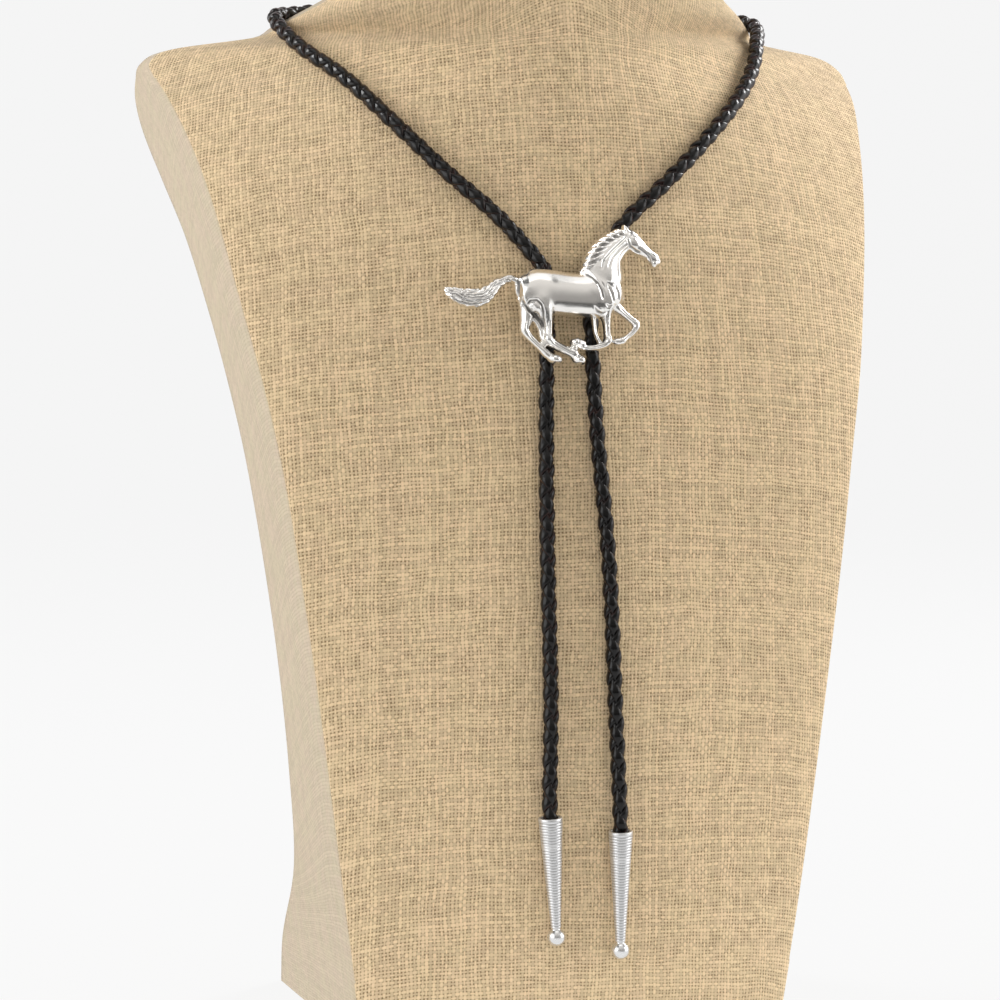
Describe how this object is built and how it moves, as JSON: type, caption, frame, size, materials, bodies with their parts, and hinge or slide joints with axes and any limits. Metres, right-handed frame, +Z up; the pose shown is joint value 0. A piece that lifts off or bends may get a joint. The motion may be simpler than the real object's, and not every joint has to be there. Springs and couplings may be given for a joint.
{
  "type": "bolo tie on a neck bust",
  "caption": "Braided leather bolo tie with a cast running horse slide and coil grooved metal tips, hanging on a burlap covered neck bust.",
  "frame": {"origin": "middle of the bust's flat base", "axes": "+Z up, +X to the right as seen from the front, -Y out of the chest"},
  "size_m": [0.2348, 0.1478, 0.362],
  "materials": {
    "burlap": "coarse plain weave",
    "leather": "glossy braided",
    "bright_metal": "polished cast",
    "clasp_metal": "satin",
    "tip_metal": "bright satin"
  },
  "bodies": {
    "root": {"neck_bust": "burlap", "braided_cord": "leather", "horse_slide": "bright_metal", "slide_clasp": "clasp_metal", "tip_left": "tip_metal", "tip_right": "tip_metal"}
  },
  "joints": []
}
